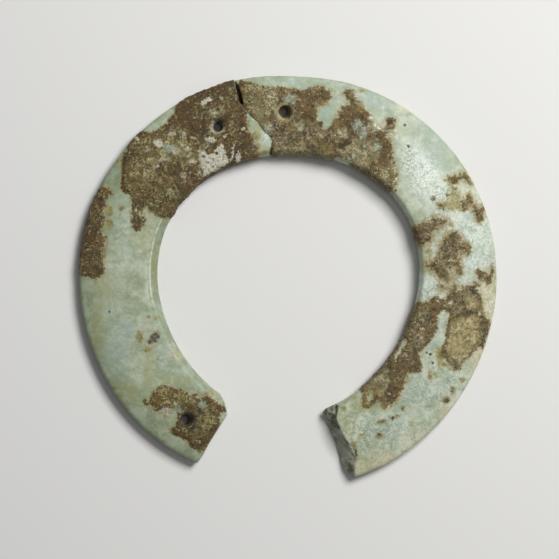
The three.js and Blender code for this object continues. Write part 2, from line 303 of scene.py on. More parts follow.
# The broken right end as seen from above, where it slopes
SLOPING_END = [
    (318, 412), (327, 402), (336, 402.5), (337, 412), (336.5, 421), (341, 431.5), (347, 440), (352, 446.5),
    (355.5, 455), (355.5, 463), (354, 471), (354.5, 480), (340, 480), (322, 430),
]

# On that end, painted light on facets that face the lamp, and painted shade in a groove, along two
# streaks and at its foot
LIT_FACETS = {
    "upper": [(321, 409), (326, 404), (330, 403), (329, 411), (326, 418), (324, 416)],
    "lower": [(333, 428), (341, 435), (349, 447), (352, 462), (346, 462), (339, 450)],
}
END_SHADE = {
    "upper_streak": [(331, 403), (333.5, 403), (333, 410), (330.5, 415), (329, 412)],
    "outer_streak": [(325, 405.5), (327, 405), (327.5, 412), (326, 417), (324, 414)],
    "groove": [
        (334.5, 402), (337.5, 404), (338, 416), (341, 429), (337, 430), (331, 424), (330, 418),
        (334.5, 414),
    ],
    "foot": [(349, 462), (353, 466), (353, 476), (348, 470)],
}

# Where the crust's edge breaks up into crumbs
CRUMBLE_ZONES = [
    (450, 205, 34, 34), (440, 250, 34, 34), (482, 278, 16, 18), (450, 288, 16, 8), (360, 110, 40, 20),
    (330, 98, 16, 16), (372, 130, 14, 14), (394, 178, 10, 24), (150, 215, 20, 22), (155, 405, 16, 18),
    (198, 396, 20, 8), (390, 395, 30, 20), (106, 235, 10, 46), (370, 120, 18, 18),
]

# Single spots: pixel of the middle, then the half widths in pixels along x and y
OCHRE_SPOTS = [
    (110, 211, 3.6, 5.5), (110.5, 224, 3.6, 5), (122, 208.5, 3, 3), (96, 282.5, 1.5, 2),
    (255.5, 136.5, 4.4, 4.2), (257.5, 147.5, 3.6, 4.6), (247.5, 124.5, 3, 4), (261, 153.5, 7, 3),
    (140, 337, 4, 5), (147.5, 349.5, 4, 3), (139, 332, 2, 2), (158, 318, 3, 2), (149, 317, 2, 1.2),
    (447.5, 278, 3, 2), (459, 272, 2.4, 3.6), (467.5, 248, 2, 5), (427.5, 251.5, 4, 2.6),
    (450.5, 224.5, 3, 3), (440.5, 287, 3.5, 2), (432.5, 198.5, 3.2, 3), (440, 205.5, 4.4, 2.8),
    (450, 206, 5, 2.6), (457.5, 205, 3, 4.4), (452, 194, 3, 2), (458, 196, 1.6, 3), (440, 356, 3.5, 9),
    (444, 364, 3.5, 2.5), (429.5, 375, 2.4, 5), (434, 373.5, 1.6, 2), (462, 379.5, 2.8, 3),
    (452.5, 389.5, 3, 4), (446, 399.5, 4.6, 4), (402, 408, 2.2, 2.6), (392, 417, 4.4, 2.4),
    (381.5, 421.5, 4.6, 3), (379.5, 435, 4, 3), (354.5, 397.5, 1.5, 1.5), (343.5, 408, 3, 3),
    (362, 434.5, 3, 1.5), (397, 415.5, 3, 1), (345, 458, 1.5, 2), (353, 446, 3.4, 7), (355.5, 456, 3, 5),
    (390.5, 126.5, 4, 4.5), (362, 91, 4, 2), (209, 393, 5, 2.5), (174, 430, 4.6, 4.6), (119, 161.5, 4, 3),
    (428, 406, 4, 0.8), (336, 125, 3, 8), (325, 103, 5, 3), (361, 107, 3, 5), (187, 149, 4, 3),
    (115, 388, 3, 1.5), (119, 394, 2, 1.2), (151, 432, 4, 1.4), (163, 441, 3, 1.2), (91, 338, 1.4, 3),
    (366, 404, 5, 3), (383, 406, 3, 3), (378, 393, 4, 4.4),
]
BROWN_SPOTS = [
    (156, 333.6, 3.4, 2.2), (158.8, 336.5, 2.3, 3), (155.6, 339.4, 3.2, 2.2), (152.6, 337, 2.4, 3.2),
    (150.8, 341.6, 2.8, 2.7), (446.5, 400, 2.8, 2.4), (381.5, 421, 2, 1.4), (392, 417, 2.8, 1.7),
    (402, 408, 1.2, 1.6), (379, 434, 2, 1.6), (451.5, 391, 1.4, 1.8), (386.5, 129, 3, 1.4),
    (386, 133.5, 3.2, 1.4), (381, 138, 1.8, 1.6), (455.5, 189, 1.9, 1.8), (433, 199.5, 1.8, 1.7),
    (447, 195.5, 1.8, 1.7), (146, 400, 1.6, 2.4), (439.5, 205.5, 2.2, 1.7), (440.5, 286.5, 1.6, 0.9),
    (459, 274, 1.6, 1.8), (476, 214, 1.2, 4), (390, 121, 5, 3.4), (388, 132.5, 4.4, 1.2),
    (380.5, 138.5, 2, 1.8), (223, 119.5, 4.5, 1.4), (227, 121, 1.6, 2), (215.5, 121, 1.5, 1),
    (346, 143.5, 4, 3.2), (341, 147, 4, 3.6), (320, 124.5, 3, 2.6), (355.5, 452, 1.8, 4),
    (416.5, 303.5, 2.4, 1.4), (470, 312.5, 6, 1.2),
]
PITS = [
    (312, 106.5, 1.8, 1.5), (321, 124, 2.2, 2.2), (289, 116, 1.6, 2.2), (404.5, 125.5, 1.6, 1.6),
    (407.5, 147, 2, 1.9), (110, 311.5, 1.1, 1.1), (426, 352.5, 1.2, 1), (429.5, 354, 1.6, 1.4),
    (432, 362.5, 1.3, 1.3), (158.5, 359, 0.7, 0.7), (395, 191, 1.4, 1.1), (203.5, 157, 1.3, 1.4),
    (217, 154, 1.6, 1.6), (209, 163, 0.8, 1), (213.5, 167, 0.9, 0.9),
]
LIGHT_SPOTS = [
    (269.5, 126, 2, 1.8), (349.5, 88, 2, 1.4), (212, 112.5, 3.5, 2), (216, 116, 2, 2.5),
    (172, 134.5, 4.5, 3.5), (184, 136, 3, 4), (182, 145, 2, 3), (187, 150, 3.5, 3), (193, 162, 4.6, 2.4),
    (156, 168, 3, 2), (146, 174, 2, 2.5), (168, 178, 2, 1.2), (169.5, 192.5, 3, 3), (154, 205, 3, 1.5),
    (137, 212, 1.6, 4), (148, 150, 3, 2), (184.5, 178, 2.5, 4), (421, 337, 1.6, 1.4),
    (340.5, 133.5, 2.4, 2.4), (345.5, 136, 2.6, 2.4), (364, 152, 1.4, 1.8), (207.5, 146, 2.4, 2.2),
    (370, 127, 3.2, 2.8), (300, 128, 3.5, 4.5), (434, 375.5, 1, 1), (132.5, 289.5, 1.1, 1.1),
    (194, 139, 2, 1.6), (222, 98, 2, 1.4), (200.5, 163, 1, 11), (164, 160, 6, 2), (177, 152, 4, 4),
    (190, 156, 4, 2),
]
BRIGHT_GRAINS = [
    (172.5, 113, 1.8, 2.8), (138, 140, 1.8, 2.4), (105, 234.5, 1.6, 1.6), (269.5, 97.5, 1.8, 1.6),
    (302.5, 89, 2, 1.6), (450, 302, 2.2, 2.2), (436, 301, 1.4, 1.4), (478.5, 314, 1.2, 2.4),
    (225, 137, 1.6, 1.4), (243, 129.5, 1.8, 1.8), (420.5, 328.5, 1.5, 1.5), (193, 162, 3.6, 1.6),
    (187, 149, 2.4, 1.6), (321.5, 103, 1.2, 1), (137, 210, 1.4, 2.4),
]

# Spots where the pale green stone shows through the crust
GREEN_SPOTS = [
    (289, 99.5, 6, 4), (357, 126, 4, 5.5), (363.5, 133, 4, 5.5), (377.5, 147.5, 3.6, 4.4),
    (343, 101, 4.5, 3), (170.5, 148.5, 6.5, 4.5), (268, 131, 3.6, 3.2), (373, 118, 2, 2),
    (202, 403.5, 4.5, 3.6), (171, 418, 5, 6), (343, 161.5, 9, 2.6), (374, 129, 3, 4), (353, 158, 2, 2.6),
    (179, 409.5, 4, 2.6),
]

# Rims of the lashing holes: tan, pale grey, and dark brown inside their mouths. The dark brown lies
# on the side away from the light and is partly brown crust, partly painted shade
TAN_RINGS = [(284, 113, 9, 9)]
PALE_RINGS = [(217.4, 128.4, 7.2, 7.2)]
FUNNELS = [(286.5, 112.5, 7, 7), (190, 417, 7.5, 6.5), (223, 121, 5, 3)]

# A pinkish bloom on the bare stone, mottled
BLOOM = {
    "left_spot": [
        (153, 332), (158, 330.5), (161, 334), (160, 339), (156.5, 342), (152, 344.5), (149, 342),
        (152, 338),
    ],
    "left_end": [(158, 404), (166, 405), (174, 407), (173, 414), (168, 419), (162, 418), (158, 412)],
    "upper_right": [(374, 127), (381, 125), (386, 131), (384, 141), (376, 138), (372, 132)],
}

# Soft zones, as middle and half widths in pixels: chalky weathering, warm cream stain, and so on.
# The chalk and fleck zones about (424, 178) also paint the sheen there as paler colour, and the
# glint zones paint highlight flecks on it
CHALK_ZONES = [
    (466, 232, 30, 32), (432, 288, 18, 14), (476, 262, 26, 26), (444, 216, 12, 12), (474, 196, 14, 16),
    (437, 320, 6, 16), (424, 180, 13, 20), (264, 139, 5, 9),
]
CREAM_ZONES = [
    (488, 305, 10, 34), (443, 292, 6, 5), (432, 376, 7, 7), (456, 185, 5, 6), (482, 205, 6, 12),
    (480, 360, 14, 26), (455, 410, 20, 18), (420, 440, 22, 14), (385, 460, 24, 12), (365, 468, 14, 10),
    (404, 108, 9, 5), (178, 354, 9, 7), (211, 393.5, 6, 3), (469, 196, 9, 8),
]
YELLOW_ZONES = [
    (454, 202, 12, 12), (155, 265, 4, 30), (442, 358, 4, 10), (412, 421, 5, 8), (360, 405, 10, 8),
    (150, 368, 6, 28), (140, 232, 10, 20), (98, 330, 6, 40), (128, 392, 10, 12), (105, 290, 12, 20),
    (180, 380, 18, 5), (258, 128, 6, 22), (262, 156, 12, 5), (348, 424, 8, 12),
]
BLUE_ZONES = [
    (300, 84, 44, 8), (360, 98, 40, 16), (430, 150, 24, 40), (254, 128, 6, 14), (119, 352, 11, 22),
    (128, 328, 8, 12), (112, 300, 10, 20), (325, 115, 10, 14), (455, 215, 20, 20), (470, 245, 14, 30),
    (425, 395, 26, 18), (395, 425, 22, 14), (432, 330, 8, 26), (430, 285, 12, 12), (100, 355, 12, 16),
]
# The first fleck zone, at (424, 178), paints the sheen's speckle as paler flecks
FLECK_ZONES = [
    (424, 178, 18, 26), (440, 385, 46, 36), (395, 432, 50, 26), (470, 240, 30, 50), (430, 290, 20, 14),
    (488, 305, 10, 34), (440, 322, 8, 20), (455, 215, 24, 16), (360, 430, 22, 26),
]
PAINTED_GLINT_ZONES = [(410, 160, 10, 16), (423, 178, 14, 20), (437, 193, 11, 11)]
CLOUD_ZONES = [
    (165, 290, 7, 60), (130, 235, 20, 30), (176, 350, 14, 20), (120, 350, 12, 30), (262, 143, 6, 8),
    (170, 358, 14, 16), (470, 300, 8, 12), (200, 378, 14, 8), (440, 385, 42, 32), (400, 430, 44, 22),
    (424, 175, 26, 38), (380, 105, 24, 14), (178, 345, 9, 14), (194, 372, 9, 9), (205, 386, 9, 7),
]

# The turns round the ring between which the rim and the bevel are darkened: painted shade where
# they slope away from the light
PAINTED_SHADE_TURNS = (120, 150, 235, 262)

# How far round an outline, in pixels, its distances are worked out
FAR_PX = 14.0

# Ways in which outlines are warped: how many pixels by wide waves and by narrow ones
WARPS = {"warped": (1.3, 0.8), "blotchy": (2.0, 1.2), "steady": (0.7, 0.6), "shaken": (0.3, 0.0)}

# Covers that outlines or spots bound, how those are warped and how ragged their edges are. They
# are kept off the underside, which can't be seen
SEEN = {
    "tan": (TAN, "blotchy", 1), "white": (WHITE, "warped", 1), "dark": (DARK, "blotchy", 2),
    "pale": (PALE, "blotchy", 2), "grey": (GREY, "blotchy", 2), "film": (FILM, "blotchy", 1),
    "olive": (OLIVE, "blotchy", 1), "bloom": (BLOOM, "blotchy", 1),
    "grains": (BRIGHT_GRAINS, "warped", 1), "green": (GREEN_SPOTS, "blotchy", 1),
    "ochre": (OCHRE_SPOTS, "steady", 0.5), "brown": (BROWN_SPOTS, "steady", 0.5),
    "light": (LIGHT_SPOTS, "steady", 0.5), "pit": (PITS, "shaken", 0.25),
}
RINGS = {"tan": TAN_RINGS, "light": PALE_RINGS, "brown": FUNNELS}

# Covers that fade outwards from soft zones
WARPED_ZONES = {
    "chalk": CHALK_ZONES, "cream": CREAM_ZONES, "cloud": CLOUD_ZONES, "fleck": FLECK_ZONES,
    "yellow": YELLOW_ZONES, "blue": BLUE_ZONES,
}

# Where other covers set in and where they are full: heights of the unseen side in mm, reaches from
# the ring's middle in mm of the matte rim and of the painted shade on it, the reach in pixels from
# a hole's middle of the painted shade in its bore, and pixel columns of the darker crust left of
# the break. Soil, darkened also as painted shade in the crack, lies on the broken faces on both
# sides of a column, down to a row
UNSEEN_HEIGHTS = (2.4, 1.2)
MATTE_REACH = (42.7, 46.6)
PAINTED_SHADE_REACH = (42.5, 48.5)
BORE_SHADE_REACH_PX = (5.2, 4.2)
UMBER_COLUMNS = (262, 240)
SOIL_SHADE_COLUMN = 253
SOIL_SHADE_REACH_PX = (26, 22)
SOIL_SHADE_LAST_ROW = 170

# How fine the stone's surface is worked out, and how much of the CAD's facets is smoothed away
VOXEL = 0.26
SMOOTH_STEPS = 5
SMOOTH_SHARE = 0.5

# Relief of the surface, in mm
CRUST_RISE = 0.20
CRUST_LUMPS = 0.18
CRUST_GRAIN = 0.10
WHITE_RISE = 0.06
TAN_SINK = 0.08
STONE_WAVE = 0.03
PIT_DEPTH = 0.05
FRACTURE_DEPTH = 0.25

# The fragments' matching faces come closer than the solids do, so that the break is a thin line,
# but for a part between these distances from the middle, in pixels, where a sliver is lost
BREAK_CLOSING = 0.14
WEDGE_FROM_PX = 182
WEDGE_TO_PX = 203
WEDGE_OPENING = 0.28
LIP_CLOSING = 0.14

# Heights of the solid's ridge and crown by the opening. On the left a crisp edge parts the bevel
# from the crown, this far out from the opening. Elsewhere the bevel is worn round into the crown,
# over a long run at the lower left and a short one on the right
RIDGE_HEIGHT = 2.85
CROWN_HEIGHT = 5.2
CRISP_RUN = 1.75
CRISP_DROP = 0.05
CRISP_TURNS = (150, 156, 184, 191)
LONG_RUN = 2.4
SHORT_RUN = 1.6
LONG_RUN_TURNS = (110, 150, 240, 262)
ROUND_POWER = 3.3

# Wear lifts the stone above these heights only, by no more than this, and no further out than so
# much beyond the long run. A highlight painted along the crisp edge is this wide, and the matte wear
# and the painted shade on the bevel fade out between these distances from the opening
WORN_HEIGHTS = (2.6, 3.0)
MAX_LIFT = 1.5
LIFTED_BEYOND = 0.4
ARRIS_HIGHLIGHT_WIDTH = 0.16
BEVEL_REACH = (2.6, 1.2)


def lattice_pull(cell, offset, seed):
    """What each lattice corner adds to its neighbourhood: a steady random slope, along offset."""
    mixed = (cell * np.array([374761393, 668265263, 1442695041])).sum(1) + seed * 974634777
    mixed = ((mixed ^ (mixed >> 13)) * 1274126177) & 0xFFFFFFFF
    mixed = ((mixed ^ (mixed >> 16)) * 2246822519) & 0xFFFFFFFF
    turn = (mixed & 0xFFFF) / 0xFFFF * 2 * math.pi
    rise = (mixed >> 16) / 0xFFFF * 2 - 1
    level = np.sqrt(1 - rise**2)
    return offset[:, 0] * level * np.cos(turn) + offset[:, 1] * level * np.sin(turn) + offset[:, 2] * rise


def ripple(points, size, seed, octaves=3):
    """Smooth noise from about -1 to 1 at points in mm, whose largest features are size mm."""
    total, strength, place = np.zeros(len(points)), 1.0, points / size
    for octave in range(octaves):
        cell = np.floor(place).astype(np.int64)
        part = place - cell
        fade = part**3 * (part * (part * 6 - 15) + 10)
        for corner in range(8):
            step = np.array([corner & 1, corner >> 1 & 1, corner >> 2 & 1])
            weight = np.where(step, fade, 1 - fade).prod(axis=1)
            total += strength * weight * lattice_pull(cell + step, part - step, seed + octave)
        strength, place = strength / 2, place * 2.03 + 17.1
    return total * 1.5


def eased(value, low, high):
    """0 at low and beyond it, 1 at high and beyond it, and smooth between."""
    share = np.clip((value - low) / (high - low), 0, 1)
    return share * share * (3 - 2 * share)


def within(px, outline):
    """How far each pixel place lies inside an outline, in mm, and below zero outside it."""
    corners = np.array(outline, float)
    near = np.all((px > corners.min(0) - FAR_PX) & (px < corners.max(0) + FAR_PX), axis=1)
    spots = px[near]
    nearest = np.full(len(spots), FAR_PX)
    inside = np.zeros(len(spots), bool)
    for start, end in zip(corners, np.roll(corners, -1, axis=0)):
        edge = end - start
        along = np.clip(((spots - start) @ edge) / (edge @ edge), 0, 1)
        gap = spots - start - along[:, None] * edge
        nearest = np.minimum(nearest, np.hypot(*gap.T))
        if edge[1]:
            spans = (start[1] > spots[:, 1]) != (end[1] > spots[:, 1])
            inside ^= spans & (spots[:, 0] < start[0] + (spots[:, 1] - start[1]) * edge[0] / edge[1])
    found = np.full(len(px), -FAR_PX)
    found[near] = np.where(inside, nearest, -nearest)
    return found * PIXEL


def within_any(px, marks):
    """The same for a dict of named outlines, or for a list of single spots, each an ellipse."""
    if isinstance(marks, dict):
        return np.max([within(px, outline) for outline in marks.values()], axis=0)
    found = np.full(len(px), -FAR_PX * PIXEL)
    for x, y, half_width, half_height in marks:
        reach = np.hypot((px[:, 0] - x) / half_width, (px[:, 1] - y) / half_height)
        found = np.maximum(found, (1 - reach) * min(half_width, half_height) * PIXEL)
    return found


def zone(px, places):
    """A soft cover from 0 to 1 over round zones that fade outwards."""
    cover = np.zeros(len(px))
    for x, y, half_width, half_height in places:
        reach = ((px[:, 0] - x) / half_width) ** 2 + ((px[:, 1] - y) / half_height) ** 2
        cover = np.maximum(cover, np.exp(-(reach**1.5)))
    return cover


def placed(name, data):
    """A new object in the scene."""
    item = bpy.data.objects.new(name, data)
    bpy.context.scene.collection.objects.link(item)
    return item


def fine_stone(node):
    """The CAD node's shape in mm as an even fine mesh."""
    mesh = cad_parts[node].data.copy()
    mesh.transform(Matrix.Scale(1 / MM, 4))
    draft = placed(node + "_draft", mesh)
    weld = draft.modifiers.new("weld", "WELD")
    weld.merge_threshold = VOXEL / 100
    remesh = draft.modifiers.new("remesh", "REMESH")
    remesh.mode = "VOXEL"
    remesh.voxel_size = VOXEL
    fine = bpy.data.meshes.new_from_object(draft.evaluated_get(bpy.context.evaluated_depsgraph_get()))
    bpy.data.objects.remove(draft)
    fine.materials.clear()
    return fine


def array_of(items, name):
    found = np.zeros(len(items) * 3, np.float32)
    items.foreach_get(name, found)
    return found.reshape(-1, 3).astype(float)


def pixels_of(points):
    return ORIGIN_PX + points[:, :2] * [1, -1] / PIXEL


def from_centre(points):
    """How far out from the ring's middle, in mm, and at what turn, from 0 to 360 degrees."""
    out = (pixels_of(points) - RING_CENTRE_PX) * PIXEL
    return np.hypot(*out.T), np.degrees(np.arctan2(-out[:, 1], out[:, 0])) % 360


def from_opening(reach, turn):
    """How far each place lies out from the opening's edge, which is the nearest stone there."""
    edge = np.full(180, np.inf)
    np.minimum.at(edge, (turn / 2).astype(int) % 180, reach)
    edge[edge > edge.min() + 3] = np.median(edge[edge < edge.min() + 3])
    for step in range(3):
        edge = (np.roll(edge, 1) + 2 * edge + np.roll(edge, -1)) / 4
    return reach - np.interp(turn, np.arange(180) * 2 + 1, edge, period=360)


def from_holes(px):
    """How far it is to the middle of the nearest lashing hole, in pixels."""
    return np.min([np.hypot(*(px - hole).T) for hole in HOLES_PX], axis=0)


def over_turns(turn, turns):
    """1 between the middle two of four turns, falling to 0 at the outer ones."""
    first, full, fading, last = turns
    past = (turn - first) % 360 + first
    return eased(past, first, full) * (1 - eased(past, fading, last))


def brokenness(points, normals):
    """1 on the broken faces, whose normals lie along the ring's turn, and 0 on the ground ones."""
    px = pixels_of(points)
    out = (px - RING_CENTRE_PX) * [1, -1]
    out /= np.linalg.norm(out, axis=1)[:, None]
    along = normals[:, 1] * out[:, 0] - normals[:, 0] * out[:, 1]
    turn = from_centre(points)[1]
    near_break = np.min([np.abs(turn - at) for at in BREAK_TURNS], axis=0) < BREAK_SPREAD
    ends = eased(np.abs(along), 0.35, 0.7) * near_break * (from_holes(px) > HOLE_MOUTH_PX)
    sloping = eased(within(px, SLOPING_END), -0.1, 0.2) * eased(points[:, 2], 1.0, 2.0)
    return np.maximum(ends, sloping)


def worn_shape(mesh):
    """The mesh's points with the CAD's facets smoothed away and its bevel worn."""
    points = array_of(mesh.vertices, "co")
    ends = np.zeros(len(mesh.edges) * 2, np.int32)
    mesh.edges.foreach_get("vertices", ends)
    first, second = ends.reshape(-1, 2).T
    count = len(points)
    neighbours = np.bincount(ends, minlength=count)

    def relaxed(values):
        """For each point, the mean of the values beside it."""
        total = np.bincount(first, values[second], count) + np.bincount(second, values[first], count)
        return total / neighbours

    broken = eased(brokenness(points, array_of(mesh.vertices, "normal")), 0, 0.2)
    for step in range(SMOOTH_STEPS):
        share = SMOOTH_SHARE * np.where(step, 1 - broken, 1)[:, None]
        points += share * (np.column_stack([relaxed(values) for values in points.T]) - points)
    reach, turn = from_centre(points)
    out = from_opening(reach, turn)
    run = SHORT_RUN + (LONG_RUN - SHORT_RUN) * over_turns(turn, LONG_RUN_TURNS)
    straight = np.minimum(out / CRISP_RUN, 1) * (CROWN_HEIGHT - CRISP_DROP - RIDGE_HEIGHT)
    rounded = (1 - np.clip(1 - out / run, 0, 1) ** ROUND_POWER) * (CROWN_HEIGHT - RIDGE_HEIGHT)
    crisp = over_turns(turn, CRISP_TURNS)
    wanted = RIDGE_HEIGHT + straight * crisp + rounded * (1 - crisp)
    lift = np.clip(wanted - points[:, 2], 0, MAX_LIFT) * (out < LONG_RUN + LIFTED_BEYOND)
    lift *= eased(points[:, 2], *WORN_HEIGHTS) * (1 - broken)
    for step in range(2):
        lift += SMOOTH_SHARE * (1 - crisp) * (relaxed(lift) - lift)
    points[:, 2] += lift
    return points


def surface_fields(points, normals, crust_outlines):
    """Every cover on the stone, by name: in mm inside its edge, or as a share from 0 to 1."""
    px = pixels_of(points)
    ragged = 0.13 * ripple(points, 1.4, 11) + 0.10 * ripple(points, 0.6, 21, 2)
    drift = np.column_stack([ripple(points, 1.3, seed) for seed in (91, 101)])
    ruffle = np.column_stack([ripple(points, 0.6, seed, 2) for seed in (111, 121)])
    places = {name: px + wide * drift + narrow * ruffle for name, (wide, narrow) in WARPS.items()}

    # Below mid height nothing is known, so crust there gathers in patches of its own
    under = eased(points[:, 2], *UNSEEN_HEIGHTS)
    patches = 1.6 * ripple(points, 14, 31) + 0.5 * ripple(points, 3, 41) - 0.75
    crust = np.minimum(within_any(places["warped"], crust_outlines), -within_any(places["warped"], BARE))
    crust = crust * (1 - under) + np.minimum(crust * 0.5 + patches, 1.5) * under + ragged

    broken = brokenness(points, normals)
    fields = {"crust": crust, "broken": broken}
    for name, (marks, place, raggedness) in SEEN.items():
        cover = np.maximum(within_any(places[place], marks), within_any(px, RINGS.get(name, [])))
        fields[name] = cover + raggedness * ragged
    for name, zones in WARPED_ZONES.items():
        fields[name] = zone(places["blotchy"], zones)
    fields["crumble"] = zone(px, CRUMBLE_ZONES)
    # Painted highlight flecks where the sheen lies on the upper right
    fields["painted_glint"] = zone(px, PAINTED_GLINT_ZONES)
    # Painted light on facets of the broken end
    fields["lit_facet"] = within_any(px, LIT_FACETS)
    # Painted shade in the broken end's groove, streaks and foot
    fields["end_shade"] = within_any(px, END_SHADE)
    # Soil on the broken faces by the break, made dark also as painted shade in the crack
    by_break = eased(np.abs(px[:, 0] - SOIL_SHADE_COLUMN), *SOIL_SHADE_REACH_PX) * (px[:, 1] < SOIL_SHADE_LAST_ROW)
    fields["soil_and_shade"] = by_break * broken
    fields["umber"] = eased(px[:, 0], *UMBER_COLUMNS)
    # Painted shade: the lashing holes' bores are coloured dark
    fields["bore_shade"] = eased(from_holes(px), *BORE_SHADE_REACH_PX)

    # Where the stone is worn and matte, where a highlight is painted along its crisp edge, and where
    # shade is painted on it: by the opening and on the rim
    reach, turn = from_centre(points)
    out = from_opening(reach, turn)
    crisp = over_turns(turn, CRISP_TURNS)
    bevel = eased(out, *BEVEL_REACH) * (1 - under)
    worn = bevel * over_turns(turn, LONG_RUN_TURNS) * (1 - crisp)
    mossy = eased(fields["olive"], -0.5, 0.3) * (1 - under)
    fields["matte"] = np.max([eased(reach, *MATTE_REACH), worn, mossy], axis=0)
    # A painted highlight along the crisp edge at the left
    fields["arris_highlight"] = np.exp(-(((out - CRISP_RUN) / ARRIS_HIGHLIGHT_WIDTH) ** 2)) * crisp * (1 - under)
    # Painted shade on the rim and on the bevel at the left, which slope away from the light
    painted_shade = np.maximum(eased(reach, *PAINTED_SHADE_REACH), 0.9 * bevel * (reach < 40))
    fields["painted_shade"] = over_turns(turn, PAINTED_SHADE_TURNS) * painted_shade
    for name in SEEN:
        fields[name] = fields[name] * (1 - under) - 3 * under
    for name in ("chalk", "fleck", "painted_glint"):
        fields[name] *= 1 - under
    return fields


def relief(points, fields):
    """How far the surface stands off the ground stone, in mm."""
    clear = eased(from_holes(pixels_of(points)), HOLE_MOUTH_PX - 1, HOLE_MOUTH_PX + 3)
    crusted = eased(fields["crust"], -0.1, 1.0) * (1 - fields["broken"]) * clear
    smooth_tan = eased(fields["tan"], -0.3, 0.5)
    rough = crusted * (1 - 0.8 * smooth_tan)
    height = STONE_WAVE * ripple(points, 5, 51)
    height += crusted * CRUST_RISE
    height += rough * (CRUST_LUMPS * ripple(points, 1.8, 61) + CRUST_GRAIN * ripple(points, 0.7, 71, 2))
    height += crusted * WHITE_RISE * eased(fields["white"], -0.1, 0.2)
    height -= crusted * smooth_tan * TAN_SINK
    return height - PIT_DEPTH * eased(fields["pit"], -0.05, 0.25)


def fracture_relief(points):
    """How far the broken faces stand off the solids' own, in mm."""
    facets = np.abs(ripple(points * [1, 1, 0.6], 3.2, 81))
    px = pixels_of(points)
    from_middle = np.hypot(*(px - RING_CENTRE_PX).T)
    wedge = eased(from_middle, WEDGE_FROM_PX - 2, WEDGE_FROM_PX + 3)
    wedge *= eased(from_middle, WEDGE_TO_PX + 3, WEDGE_TO_PX - 3) * eased(points[:, 2], 1.9, 2.6)
    lip = BREAK_CLOSING + LIP_CLOSING * eased(points[:, 2], 4.0, 4.8) * (1 - wedge)
    matched = px[:, 1] < RING_CENTRE_PX[1]
    return np.where(matched, lip - (BREAK_CLOSING + WEDGE_OPENING) * wedge, -FRACTURE_DEPTH * facets)


def stone_piece(node, body, crust_outlines, material):
    """A fragment's finished surface, which stands for its CAD node."""
    mesh = fine_stone(node)
    points = worn_shape(mesh)
    mesh.vertices.foreach_set("co", points.astype(np.float32).ravel())
    mesh.update()
    normals = array_of(mesh.vertices, "normal")
    fields = surface_fields(points, normals, crust_outlines)
    broken = fields["broken"]
    height = relief(points, fields) * (1 - broken) + fracture_relief(points) * broken
    settled = eased(points[:, 2], 0.02, 0.5)
    points += normals * (height * settled)[:, None]
    points[:, 2] = np.maximum(points[:, 2], 0)
    mesh.vertices.foreach_set("co", (points * MM).astype(np.float32).ravel())
    for name, values in fields.items():
        mesh.attributes.new(name, "FLOAT", "POINT").data.foreach_set("value", values.astype(np.float32))
    mesh.shade_smooth()
    mesh.update()
    mesh.materials.append(material)
    piece = placed(node.replace("fragment", "stone"), mesh)
    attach(piece, body)
    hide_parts(node)


def tone(red, green, blue):
    """A colour given as it looks, from 0 to 255, as Blender's linear colour."""
    shares = np.array([red, green, blue]) / 255
    linear = np.where(shares <= 0.04045, shares / 12.92, ((shares + 0.055) / 1.055) ** 2.4)
    return (*linear, 1.0)


def feed(node, inputs):
    """Links those of a node's inputs that are given as a Value, and sets the others."""
    for name, value in inputs.items():
        if isinstance(value, Value):
            node.id_data.links.new(value.socket, node.inputs[name])
        else:
            node.inputs[name].default_value = value


def make(tree, kind, inputs, output=0, **settings):
    """A new node, as the Value of one of its outputs."""
    node = tree.nodes.new("ShaderNode" + kind)
    for name, value in settings.items():
        setattr(node, name, value)
    feed(node, inputs)
    return Value(node.outputs[output])


class Value:
    """A number, colour or shader that a node puts out. Reckoning with it makes more nodes."""

    def __init__(self, socket):
        self.socket = socket
        self.tree = socket.id_data

    def math(self, operation, other=0.0):
        return make(self.tree, "Math", {0: self, 1: other}, operation=operation)

    def __add__(self, other):
        return self.math("ADD", other)

    def __sub__(self, other):
        return self.math("SUBTRACT", other)

    def __mul__(self, other):
        return self.math("MULTIPLY", other)

    def eased(self, low, high):
        inputs = {"Value": self, "From Min": low, "From Max": high}
        return make(self.tree, "MapRange", inputs, interpolation_type="SMOOTHSTEP")

    def ramp(self, *stops):
        """The colour at this share, between stops of position, red, green and blue."""
        node = self.tree.nodes.new("ShaderNodeValToRGB")
        feed(node, {"Fac": self})
        elements = node.color_ramp.elements
        while len(elements) < len(stops):
            elements.new(0.5)
        for element, (position, *colour) in zip(elements, stops):
            element.position = position
            element.color = tone(*colour)
        return Value(node.outputs["Color"])

    def under(self, *layers):
        """This colour with layers over it: how thick, of what colour, and how it is blended."""
        colour = self
        for share, paint, *kind in layers:
            paint = tone(*paint) if isinstance(paint, tuple) else paint
            kinds = {"data_type": "RGBA", "blend_type": kind[0] if kind else "MIX"}
            colour = make(self.tree, "Mix", {0: share, 6: colour, 7: paint}, 2, **kinds)
        return colour


# The stone's own material and its nodes. Colours in it were judged from the photograph, and
# shares and limits were set until the render looked like it
BUMP_DEPTH = 0.12
GLOW_DEPTH = 0.6
stone = bpy.data.materials.new("weathered_nephrite")
stone.use_nodes = True
tree = stone.node_tree
place = make(tree, "TexCoord", {}, "Object")
noise_numbers = itertools.count(1)


def field(name):
    """One of the covers that surface_fields works out."""
    return make(tree, "Attribute", {}, "Fac", attribute_name=name)


def grain(size, detail=2.0, rough=0.5, warp=0.0):
    """Noise from 0 to 1 whose features are size mm across, another one at each call."""
    number = next(noise_numbers)
    shift = (number * 0.0137, number * 0.0071, number * 0.0191)
    inputs = {
        "Vector": make(tree, "Mapping", {"Vector": place, "Location": shift}),
        "Scale": 1 / (size * MM), "Detail": detail, "Roughness": rough, "Distortion": warp,
    }
    return make(tree, "TexNoise", inputs, "Fac")


